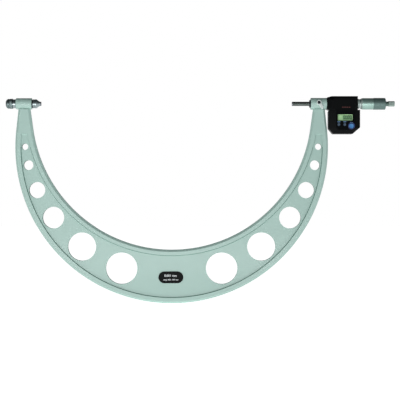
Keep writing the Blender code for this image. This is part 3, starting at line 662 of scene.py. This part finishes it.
def make_spindle():
    """The spindle with its keyway and tip, and the bush that guides it."""
    spindle = lathe("spindle_ground", soften(
        [(651.0, 0), (651.0, 4.2), (643.5, 4.9), (603.5, 4.9), (602.6, 4.0), (476.6, 4.0),
         (476.6, 0)], 0.3), "spindle_steel")
    key_end, key_half = 1.2, 0.9
    keyway = brick("cutter", (KEY_X - TRAVEL - key_end, -key_half, 3.0),
                   (KEY_X + key_end, key_half, 6.0), "spindle_steel")
    combine(spindle, [keyway], "DIFFERENCE")
    finish_edges(spindle, 0.08, 1)
    put(spindle, "spindle", "bright_steel", "spindle")
    tip = lathe("spindle_tip_lapped", soften(
        [(476.3, 0), (476.3, 4.0), (475.0, 4.0), (475.0, 0)], 0.15), "carbide")
    put(tip, "spindle", "carbide", "spindle_tip")
    bush = lathe("guide_bush_turned", soften(
        [(519.5, 4.25), (519.5, 6.7), (510.1, 6.7), (510.1, 7.2), (508.1, 7.2), (508.1, 4.25)],
        0.3), "dark_steel")
    put(bush, "frame", "dark_steel", "spindle_guide_bush")


def make_clamp():
    """The clamp lever with its swelling hub and tapering arm, and the screw in its eye."""
    angle = math.radians(LEVER_ANGLE)
    direction = Vector((math.cos(angle), math.sin(angle)))
    hub_r, arm_half, reach = 4.6, 2.6, 14.0
    tip = Vector((CLAMP_X, CLAMP_Z)) + direction * (reach - arm_half)
    outline = arc(CLAMP_X, CLAMP_Z, hub_r, LEVER_ANGLE + 40, LEVER_ANGLE + 320, 40)
    outline += arc(tip.x, tip.y, arm_half, LEVER_ANGLE - 90, LEVER_ANGLE + 90, 20)
    lever = prism("clamp_lever_cast", outline, -15.2, -11.6, "lever_chrome")
    combine(lever, [cylinder(CLAMP_HOLE_R, CLAMP_X, CLAMP_Z, -20, 0)], "DIFFERENCE")
    finish_edges(lever, 0.8, 4)
    put(lever, "clamp_lever", "satin_chrome", "clamp_lever")
    screw = lathe("clamp_screw_turned", soften(
        [(14.9, 0), (14.9, 2.7), (6.9, 2.7), (6.9, 0)], 0.35), "dark_steel", axis="front",
        centre=(CLAMP_X, 0, CLAMP_Z))
    socket = lathe("cutter", [(16, 0), (16, 1.5), (12.9, 1.5), (12.9, 0)], "black_ink",
                   axis="front", centre=(CLAMP_X, 0, CLAMP_Z), steps=6)
    combine(screw, [socket], "DIFFERENCE")
    finish_edges(screw, 0.08, 1)
    put(screw, "clamp_lever", "dark_steel", "clamp_screw")


# ---------------------------------------------------------------- thimble, sleeve and ratchet

def saw(value):
    """Triangle wave from 0 in the groove to 1 on the crest."""
    return 1 - abs(2 * (value % 1.0) - 1)


def diamond(depth, teeth, pitch, start, end):
    """Relief of a crossed knurl between two heights."""
    def relief(h, angle):
        """Change of radius at a height and an angle."""
        if not start <= h <= end:
            return 0.0
        turn = teeth * angle / (2 * math.pi)
        along = h / pitch
        return -depth * (1 - min(saw(turn + along), saw(turn - along)))
    return relief


def make_thimble():
    """The thimble, with its bevelled edge, smooth band and knurled grip."""
    low, high = box_mm("thimble")
    start, end = low[0], high[0]
    knurl_from, knurl_to = 608.5, 628.0
    knurl = [(knurl_to - 0.3 * i, 10.8) for i in range(66)]
    profile = [(end, 5.3), (end, 10.1), (end - 0.3, 10.6), (end - 1.0, 11.1), (629.4, 11.1),
               (628.7, 10.5), (628.2, 10.5), *knurl, (608.2, 10.5), (607.9, 10.55),
               (start, 9.3), (start, 8.95), (645.0, 8.95), (645.0, 5.3)]
    thimble = lathe("thimble_turned", profile, "thimble_chrome", steps=240,
                    relief=diamond(0.28, 60, 1.1, knurl_from, knurl_to))
    paint(thimble, "bevel_chrome", start - 1.0, 608.0)
    paint(thimble, "knurl_chrome", 608.0, 628.5)
    put(thimble, "spindle", "satin_chrome", "thimble")
    make_thimble_scale(start)


def paint(obj, finish, x_from, x_to):
    """Give the faces between two places on the measuring axis another finish."""
    obj.data.materials.append(MATERIALS[finish])
    for face in obj.data.polygons:
        if x_from <= face.center.x / MM <= x_to:
            face.material_index = len(obj.data.materials) - 1


def make_thimble_scale(start):
    """Fifty lines round the thimble's bevelled edge, every fifth one longer."""
    edge_r, bevel_rise, bevel_run, lift = 9.3, 1.25, 3.1, 0.03
    half = 0.11
    quads = []
    for k in range(50):
        angle = 2 * math.pi * k / 50
        reach = 2.8 if k % 5 == 0 else 1.7
        corners = []
        for h, side in ((0.15, -1), (reach, -1), (reach, 1), (0.15, 1)):
            radius = edge_r + (h / bevel_run) * bevel_rise + lift
            turn = angle + side * half / radius
            corners.append((start + h, -radius * math.cos(turn), radius * math.sin(turn)))
        quads.append(corners)
    put(flat_marks("thimble_scale", quads, "black_ink"), "spindle", "satin_chrome")


def make_sleeve():
    """The sleeve under the thimble."""
    low, high = box_mm("outer_sleeve")
    sleeve = lathe("sleeve_turned", soften(
        [(high[0], 6.9), (high[0], 8.6), (602.6, 8.6), (602.6, 9.0), (599.5, 9.3),
         (low[0], 8.9), (low[0], 6.9)], 0.2), "satin_chrome", steps=96)
    # The flange takes the darker tone: painted shade
    paint(sleeve, "bevel_chrome", low[0] - 1.0, 603.5)
    put(sleeve, "frame", "satin_chrome", "outer_sleeve")
    make_sleeve_scale()


def make_sleeve_scale():
    """A line along the sleeve, with a mark every half millimetre, above and below in turn."""
    base, length, mark_r, half = 604.6, 26.0, 8.62, 0.06
    marks = [(base, base + length, 0.0, 0.12)]
    for i in range(51):
        reach = 2.6 if i % 10 == 0 else 1.7
        side = 1 if i % 2 == 0 else -1
        marks.append((base + 0.5 * i - half, base + 0.5 * i + half, side * reach / 2, reach))
    quads = []
    for x_from, x_to, middle, width in marks:
        corners = []
        for x, offset in ((x_from, -width / 2), (x_to, -width / 2), (x_to, width / 2),
                          (x_from, width / 2)):
            turn = (middle + offset) / mark_r
            corners.append((x, -mark_r * math.cos(turn), mark_r * math.sin(turn)))
        quads.append(corners)
    put(flat_marks("sleeve_scale", quads, "black_ink"), "frame", "satin_chrome")


def make_ratchet():
    """The ratchet's neck, its ribbed knob and the slotted screw in its end."""
    base = lathe("ratchet_base_turned", soften(
        [(657.0, 2.1), (657.0, 4.3), (655.4, 4.5), (655.0, 4.1), (654.4, 4.1), (654.0, 4.6),
         (652.1, 4.6), (652.1, 2.1)], 0.2),
        "neck_steel")
    put(base, "spindle", "dark_steel", "ratchet_base")
    low, high = box_mm("ratchet_knob")
    start, end = low[0], high[0]

    def ribs(h, angle):
        """Straight ribs along the knob's grip."""
        if not start + 1.0 <= h <= end - 1.0:
            return 0.0
        return -0.28 * (1 - saw(36 * angle / (2 * math.pi)))
    grip = [(end - 1.0 - 0.5 * i, 5.1) for i in range(20)]
    knob = lathe("ratchet_knob_knurled", [
        (end, 3.2), (end, 4.7), (end - 0.5, 5.1), *grip, (start + 0.5, 5.1), (start, 4.7),
        (start, 3.9), (665.0, 3.9), (665.0, 2.1), (666.6, 2.1), (666.6, 3.2)],
        "knob_chrome", steps=144, relief=ribs)
    put(knob, "ratchet_knob", "satin_chrome", "ratchet_knob")
    screw = lathe("ratchet_screw_turned", soften(
        [(668.3, 0), (668.3, 2.8), (666.9, 2.8), (666.9, 1.6), (642.0, 1.6), (642.0, 0)], 0.2),
        "dark_steel", steps=40)
    slot = brick("cutter", (667.6, -4, -0.4), (669, 4, 0.4), "black_ink")
    combine(screw, [slot], "DIFFERENCE")
    finish_edges(screw, 0.05, 1)
    put(screw, "spindle", "dark_steel", "ratchet_screw")


# ---------------------------------------------------------------- digital unit

def button_places():
    """Centre (X, Z) and radius of each button, by its node's name."""
    places = {}
    for name in ("hold_button", "set_button", "zero_button"):
        low, high = box_mm(name)
        x, _, z = centre_mm(name)
        places[name] = (x, z, (high[0] - low[0]) / 2 - 0.8)
    return places


def face_openings(slot):
    """Cutters for the window and the buttons, through the front of the unit."""
    low, high = box_mm("display_window")
    cutters = [brick("cutter", (low[0] - PLAY, -20, low[2] - PLAY),
                     (high[0] + PLAY, -12, high[2] + PLAY), slot)]
    for x, z, radius in button_places().values():
        cutters.append(cylinder(radius + PLAY, x, z, -20, -12))
    return cutters


def axis_holes():
    """Cutters where the boss enters the unit and the sleeve leaves it."""
    return [bore(RIGHT_BORE_R, 538.0, 546.5), bore(RIGHT_BORE_R, 593.0, 601.5)]


def make_front_cover():
    """The hollow front shell, with openings for the window and the buttons."""
    cover = loft("front_cover_moulded", [(-SEAM, HOUSING), (SHOULDER_Y, HOUSING),
                                         (FACE_Y, FACE)], "black_plastic", 1.0)
    evaluated(cover)
    cavity = loft("cutter", [(1.0, inset(HOUSING, WALL)), (SHOULDER_Y + 0.8, inset(HOUSING, WALL)),
                             (FACE_Y + WALL, inset(FACE, WALL / 2))], "black_plastic")
    combine(cover, [cavity, *axis_holes(), *face_openings("black_plastic")], "DIFFERENCE")
    finish_edges(cover, 0.12, 1)
    put(cover, "frame", "black_plastic", "front_cover")


def make_panel():
    """The printed overlay with its window, button openings and small generic marks."""
    low, high = box_mm("face_panel")
    panel = prism("face_panel_printed", PANEL, low[1], high[1], "black_label")
    combine(panel, face_openings("black_label"), "DIFFERENCE")
    finish_edges(panel, 0.12, 2)
    put(panel, "frame", "black_label", "face_panel")
    print_y = low[1] - 0.03
    for name, (x, z, radius) in button_places().items():
        top = z + max(radius, 2.5) + (2.0 if name == "zero_button" else 2.6)
        mark = prism(f"{name}_mark", stadium(x, top, 5.6, 1.1), print_y, low[1] + 0.05, "blue_ink")
        put(mark, "frame", "black_label")
    for i in range(4):
        x = 569.6 + 4.2 * i
        dash = prism(f"upper_mark_{i + 1}", stadium(x, -7.6, 3.2, 1.5), FACE_Y - 0.04,
                     FACE_Y + 0.1, "red_ink")
        put(dash, "frame", "black_plastic")


SEGMENTS = {"0": "abcdef", "1": "bc", "2": "abged", "3": "abgcd", "4": "fgbc", "5": "afgcd",
            "6": "afgedc", "7": "abc", "8": "abcdefg", "9": "abcdfg"}


def digit_bars(character, x, z, width, height):
    """Boxes (x0, z0, x1, z1) of a seven-segment digit with its lower left corner at (x, z)."""
    thick, gap = 0.22 * width, 0.05 * width
    middle = z + height / 2
    bars = {
        "a": (x + thick, z + height - thick, x + width - thick, z + height),
        "d": (x + thick, z, x + width - thick, z + thick),
        "g": (x + thick, middle - thick / 2, x + width - thick, middle + thick / 2),
        "f": (x, middle + gap, x + thick, z + height - gap),
        "b": (x + width - thick, middle + gap, x + width, z + height - gap),
        "e": (x, z + gap, x + thick, middle - gap),
        "c": (x + width - thick, z + gap, x + width, middle - gap),
    }
    return [bars[key] for key in SEGMENTS[character]]


def flat_bars(name, bars, y, slot):
    """Flat bars, from (x0, z0, x1, z1) boxes, as one piece."""
    quads = [((x0, y, z0), (x1, y, z0), (x1, y, z1), (x0, y, z1)) for x0, z0, x1, z1 in bars]
    return flat_marks(name, quads, slot)


def reading_bars(x, z):
    """Bars of the whole reading, with its lower left corner at (x, z)."""
    width, height, gap = 3.1, 6.2, 0.8
    bars = []
    for character in READING:
        if character == ".":
            bars.append((x - 0.55, z, x - 0.05, z + 0.5))
            x += 0.3
            continue
        bars += digit_bars(character, x, z, width, height)
        x += width + gap
    return bars


def unit_bars(x, z):
    """Bars of the small unit, two letters m, below a reading that stands at height z."""
    bars = []
    for i in range(2):
        left = x + 2.1 * i
        bars += [(left + 0.65 * k, z - 2.2, left + 0.65 * k + 0.25, z - 1.0) for k in range(3)]
        bars.append((left, z - 1.1, left + 1.55, z - 0.85))
    return bars


def make_display():
    """The display's glass, shaded field, digits and border, behind a clear window."""
    low, high = box_mm("display_module")
    module = brick("display_glass", low, high, "lcd", 0.2)
    put(module, "frame", "lcd", "display_module")
    window_low, window_high = box_mm("display_window")
    window = brick("display_window_clear", window_low, window_high, "clear_window", 0.25)
    put(window, "frame", "clear_window", "display_window")
    front = low[1] - 0.05
    z = window_low[2] + 3.4
    bars = reading_bars(window_high[0] - 17.0, z) + unit_bars(window_high[0] - 5.0, z)
    digits = flat_bars("display_digits", bars, front - 0.04, "digit_ink")
    put(digits, "frame", "lcd")
    field = brick("display_field", (window_high[0] - 18.6, front, window_low[2] + 1.6),
                  (window_high[0] - 1.4, low[1] + 0.1, window_high[2] - 1.6), "lcd_shade")
    put(field, "frame", "lcd")
    margin, t = 1.0, 0.2
    x0, x1 = window_low[0] + margin, window_high[0] - margin
    z0, z1 = window_low[2] + margin, window_high[2] - margin
    border = flat_bars("display_border", [(x0, z0, x1, z0 + t), (x0, z1 - t, x1, z1),
                                          (x0, z0, x0 + t, z1), (x1 - t, z0, x1, z1)],
                       front, "digit_ink")
    put(border, "frame", "lcd")


def make_buttons():
    """Three buttons with dished tops, and the ring that guards the large one."""
    top, dish, lip = 17.2, 0.35, 0.8
    for name, (x, z, radius) in button_places().items():
        slot = "blue_button" if name == "zero_button" else "grey_button"
        profile = [(top - dish, 0), (top - dish * 0.8, radius * 0.45), (top, radius * 0.8),
                   (17.1, radius), (13.2, radius), (13.2, radius + lip), (12.4, radius + lip),
                   (12.4, 0)]
        button = lathe(f"{name}_moulded", soften(profile, 0.4), slot, axis="front",
                       centre=(x, 0, z), steps=56)
        put(button, name, slot, name)
    x, z, radius = button_places()["zero_button"]
    low, high = box_mm("zero_button_guard")
    outer = (high[0] - low[0]) / 2
    guard = lathe("zero_guard_moulded", soften(
        [(17.0, radius + 0.5), (17.0, outer - 0.5), (16.6, outer), (16.6, radius + 0.5)], 0.2),
        "navy_ring", axis="front", centre=(x, 0, z), steps=72)
    put(guard, "frame", "navy_ring", "zero_button_guard")


def make_rear_cover():
    """The hollow rear shell, with its battery opening and four countersunk screws."""
    cover = loft("rear_cover_moulded", [(SEAM, HOUSING), (REAR_SHOULDER_Y, HOUSING),
                                        (REAR_Y, inset(HOUSING, REAR_INSET))],
                 "rear_plastic", 0.8)
    evaluated(cover)
    cavity = loft("cutter", [(-1.0, inset(HOUSING, WALL)),
                             (REAR_SHOULDER_Y - 0.8, inset(HOUSING, WALL)),
                             (REAR_Y - WALL, inset(HOUSING, WALL + REAR_INSET))],
                  "black_plastic")
    x, _, z = centre_mm("battery_cap")
    cutters = [cavity, *axis_holes(), cylinder(8.3, x, z, 5, 20, 64)]
    screws = [f"cover_screw_{i}" for i in range(1, 5)]
    for node in screws:
        x, _, z = centre_mm(node)
        cutters.append(lathe("cutter", [(20, 0), (20, 1.9), (11, 1.9), (11, 1.3), (5, 1.3),
                                        (5, 0)], "black_ink", axis="rear",
                             centre=(x, 0, z), steps=32))
    combine(cover, cutters, "DIFFERENCE")
    finish_edges(cover, 0.12, 1)
    put(cover, "frame", "black_plastic", "rear_cover")
    for node in screws:
        make_screw(node, top=13.1, head_r=1.6, shank_r=1.0, end=-7.0)


def make_port():
    """The cover of the output socket and its two screws."""
    screws = ("port_screw_1", "port_screw_2")
    for node in screws:
        make_screw(node, top=15.3, head_r=0.9, shank_r=0.9, end=11.2)
    low, high = box_mm("port_cover")
    port = brick("port_cover_moulded", low, high, "rear_fittings")
    holes = [cylinder(1.2, centre_mm(node)[0], centre_mm(node)[2], 12, 16) for node in screws]
    combine(port, holes, "DIFFERENCE")
    finish_edges(port, 0.35, 3)
    put(port, "frame", "black_plastic", "port_cover")


def make_battery_cap():
    """The round cap of the battery, with a slot for a coin."""
    x, _, z = centre_mm("battery_cap")
    cap = lathe("battery_cap_moulded", soften(
        [(14.2, 0), (14.2, 8.0), (12.0, 8.0), (12.0, 6.9), (9.2, 6.9), (9.2, 0)], 0.4),
        "rear_fittings", axis="rear", centre=(x, 0, z), steps=72)
    slot = brick("cutter", (x - 6, 13.2, z - 0.7), (x + 6, 15, z + 0.7), "black_plastic")
    combine(cap, [slot], "DIFFERENCE")
    finish_edges(cap, 0.1, 2)
    put(cap, "battery_cap", "black_plastic", "battery_cap")


def make_screw(node, top, head_r, shank_r, end):
    """A small screw with a crossed recess, seen from the rear."""
    x, _, z = centre_mm(node)
    screw = lathe(f"{node}_cross", soften(
        [(top, 0), (top, head_r), (top - 1.7, head_r), (top - 1.75, shank_r), (end, shank_r),
         (end, 0)], 0.15), "dark_steel", axis="rear", centre=(x, 0, z), steps=32)
    arm, half = head_r * 0.62, head_r * 0.14
    cuts = [brick("cutter", (x - a, top - 0.6, z - b), (x + a, top + 1, z + b), "black_ink")
            for a, b in ((arm, half), (half, arm))]
    combine(screw, cuts, "DIFFERENCE")
    put(screw, "frame", "dark_steel", node)


# ---------------------------------------------------------------- stage

def dress_cad_nodes():
    """Give every CAD node that stays its slot's material."""
    for part in frame["record"]["subparts"]:
        obj = frame["nodes"][part["node"]]
        obj.data.materials.clear()
        obj.data.materials.append(MATERIALS[part["material_slot"]])


def area_light(name, position, target, size, power):
    """A soft rectangular light that the camera doesn't see."""
    light = bpy.data.lights.new(name, "AREA")
    light.shape = "RECTANGLE"
    light.size, light.size_y = size
    light.energy = power
    obj = bpy.data.objects.new(name, light)
    bpy.context.scene.collection.objects.link(obj)
    obj.location = position
    aim = Vector(target) - Vector(position)
    obj.rotation_euler = aim.to_track_quat("-Z", "Y").to_euler()
    obj.visible_camera = False


def make_world():
    """Even white where the camera looks past the object; a darker upper sky in reflections."""
    world = bpy.data.worlds.new("studio")
    bpy.context.scene.world = world
    world.use_nodes = True
    nodes = world.node_tree.nodes
    link = world.node_tree.links.new
    nodes.clear()
    output = nodes.new("ShaderNodeOutputWorld")
    white = nodes.new("ShaderNodeBackground")
    white.inputs["Color"].default_value = (1, 1, 1, 1)
    sky = nodes.new("ShaderNodeBackground")
    where = nodes.new("ShaderNodeTexCoord")
    split = nodes.new("ShaderNodeSeparateXYZ")
    ramp = nodes.new("ShaderNodeValToRGB")
    link(where.outputs["Generated"], split.inputs["Vector"])
    height = nodes.new("ShaderNodeMapRange")
    height.inputs["From Min"].default_value = -1.0
    height.inputs["From Max"].default_value = 1.0
    link(split.outputs["Z"], height.inputs["Value"])
    link(height.outputs["Result"], ramp.inputs["Fac"])
    for element, (position, color) in zip(ramp.color_ramp.elements, (SKY_LOW, SKY_HIGH)):
        element.position = position
        element.color = color
    link(ramp.outputs["Color"], sky.inputs["Color"])
    path = nodes.new("ShaderNodeLightPath")
    mix = nodes.new("ShaderNodeMixShader")
    link(path.outputs["Is Camera Ray"], mix.inputs[0])
    link(sky.outputs["Background"], mix.inputs[1])
    link(white.outputs["Background"], mix.inputs[2])
    link(mix.outputs["Shader"], output.inputs["Surface"])


def make_floor(lowest):
    """A plain pale floor just under the object."""
    bpy.ops.mesh.primitive_plane_add(size=FLOOR_SIZE,
                                     location=(FLOOR_X, 0.0, lowest - FLOOR_DROP))
    floor = bpy.context.object
    floor.name = "floor"
    material = bpy.data.materials.new("floor")
    material.use_nodes = True
    shader = material.node_tree.nodes["Principled BSDF"]
    shader.inputs["Base Color"].default_value = (0.9, 0.9, 0.9, 1)
    shader.inputs["Roughness"].default_value = 0.9
    shader.inputs["Emission Color"].default_value = (1, 1, 1, 1)
    shader.inputs["Emission Strength"].default_value = FLOOR_GLOW
    floor.data.materials.append(material)


def make_camera():
    """A level camera square to the instrument's front."""
    camera = bpy.data.cameras.new("camera")
    camera.sensor_width = 36.0
    camera.lens = camera.sensor_width * -CAMERA_PLACE[1] / VIEW_WIDTH
    obj = bpy.data.objects.new("camera", camera)
    bpy.context.scene.collection.objects.link(obj)
    obj.location = CAMERA_PLACE
    obj.rotation_euler = (math.radians(90), 0, 0)
    bpy.context.scene.camera = obj


MATERIALS = make_materials()
dress_cad_nodes()
make_frame()
make_label()
make_anvil_side()
make_spindle()
make_clamp()
make_thimble()
make_sleeve()
make_ratchet()
make_front_cover()
make_panel()
make_display()
make_buttons()
make_rear_cover()
make_port()
make_battery_cap()
make_world()
make_floor(cad_box[0].z)
for light in LIGHTS:
    area_light(*light)
make_camera()
bpy.context.scene.view_settings.view_transform = "Standard"
